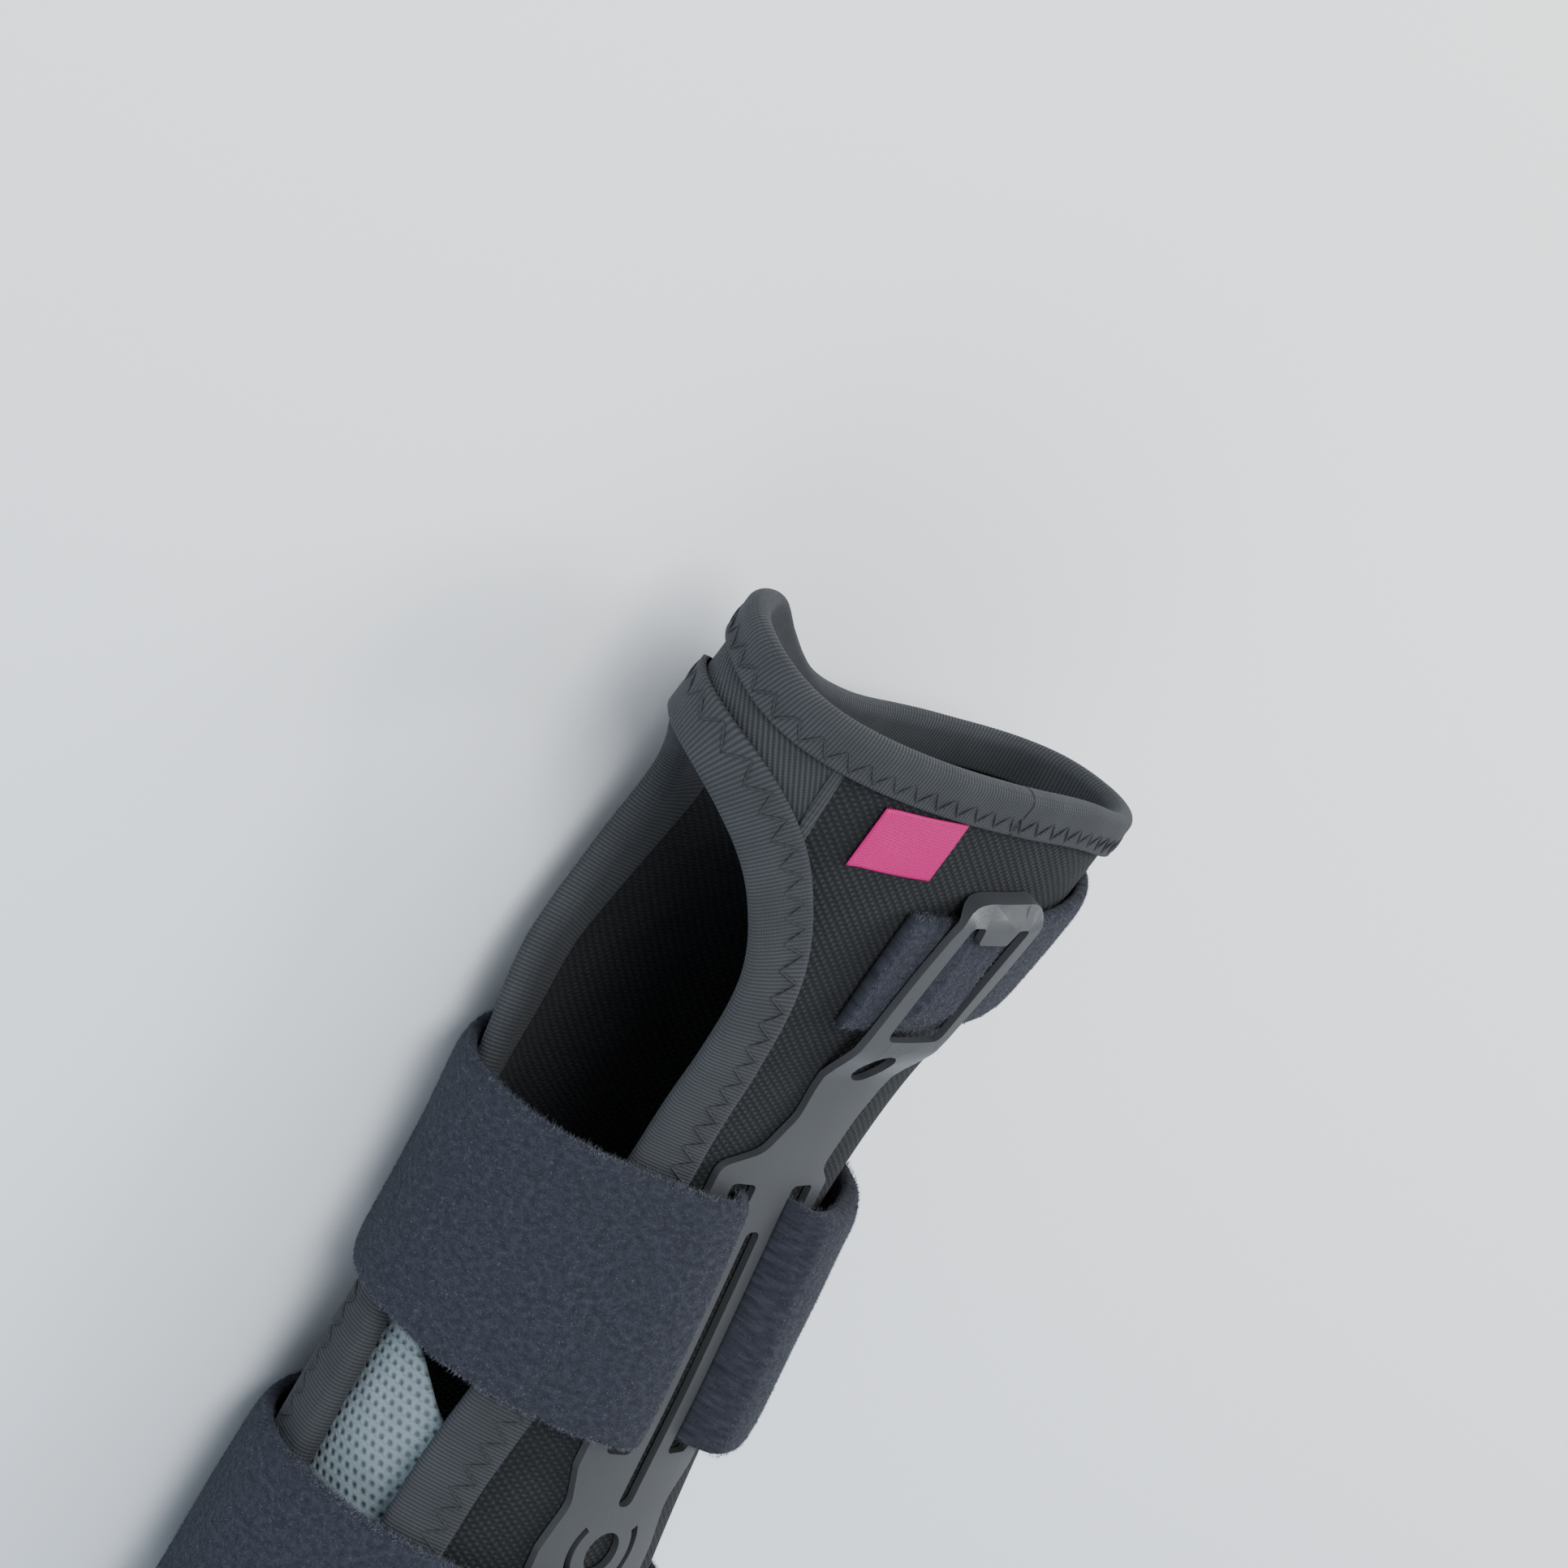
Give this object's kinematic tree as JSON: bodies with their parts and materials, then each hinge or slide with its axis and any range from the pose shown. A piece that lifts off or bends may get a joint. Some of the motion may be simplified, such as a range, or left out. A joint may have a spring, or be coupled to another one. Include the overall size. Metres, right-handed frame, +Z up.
{
  "type": "wrist brace",
  "caption": "Wrist brace for a right hand: cloth shell with bound thumb opening, slotted polymer frame on the back, and plush straps.",
  "frame": {"origin": "middle of the brace's footprint, on the surface that it lies on palm down", "axes": "+Z up out of the back of the wrist, +Y along the forearm to the fingers, -X to the thumb"},
  "size_m": [0.1006, 0.2172, 0.0648],
  "materials": {
    "woven_cloth": "matt",
    "knit_cloth": "matt",
    "plush": "napped",
    "liner_knit": "matt",
    "polymer": "satin",
    "satin_label": "satin"
  },
  "bodies": {
    "root": {"shell_panel": "woven_cloth", "web_panel": "knit_cloth", "rim_binding": "knit_cloth", "opening_binding": "knit_cloth", "proximal_binding": "knit_cloth", "liner_tongue": "liner_knit", "label": "satin_label", "dorsal_frame": "polymer", "hand_strap": "plush", "wrist_strap": "plush", "forearm_strap": "plush"}
  },
  "joints": []
}
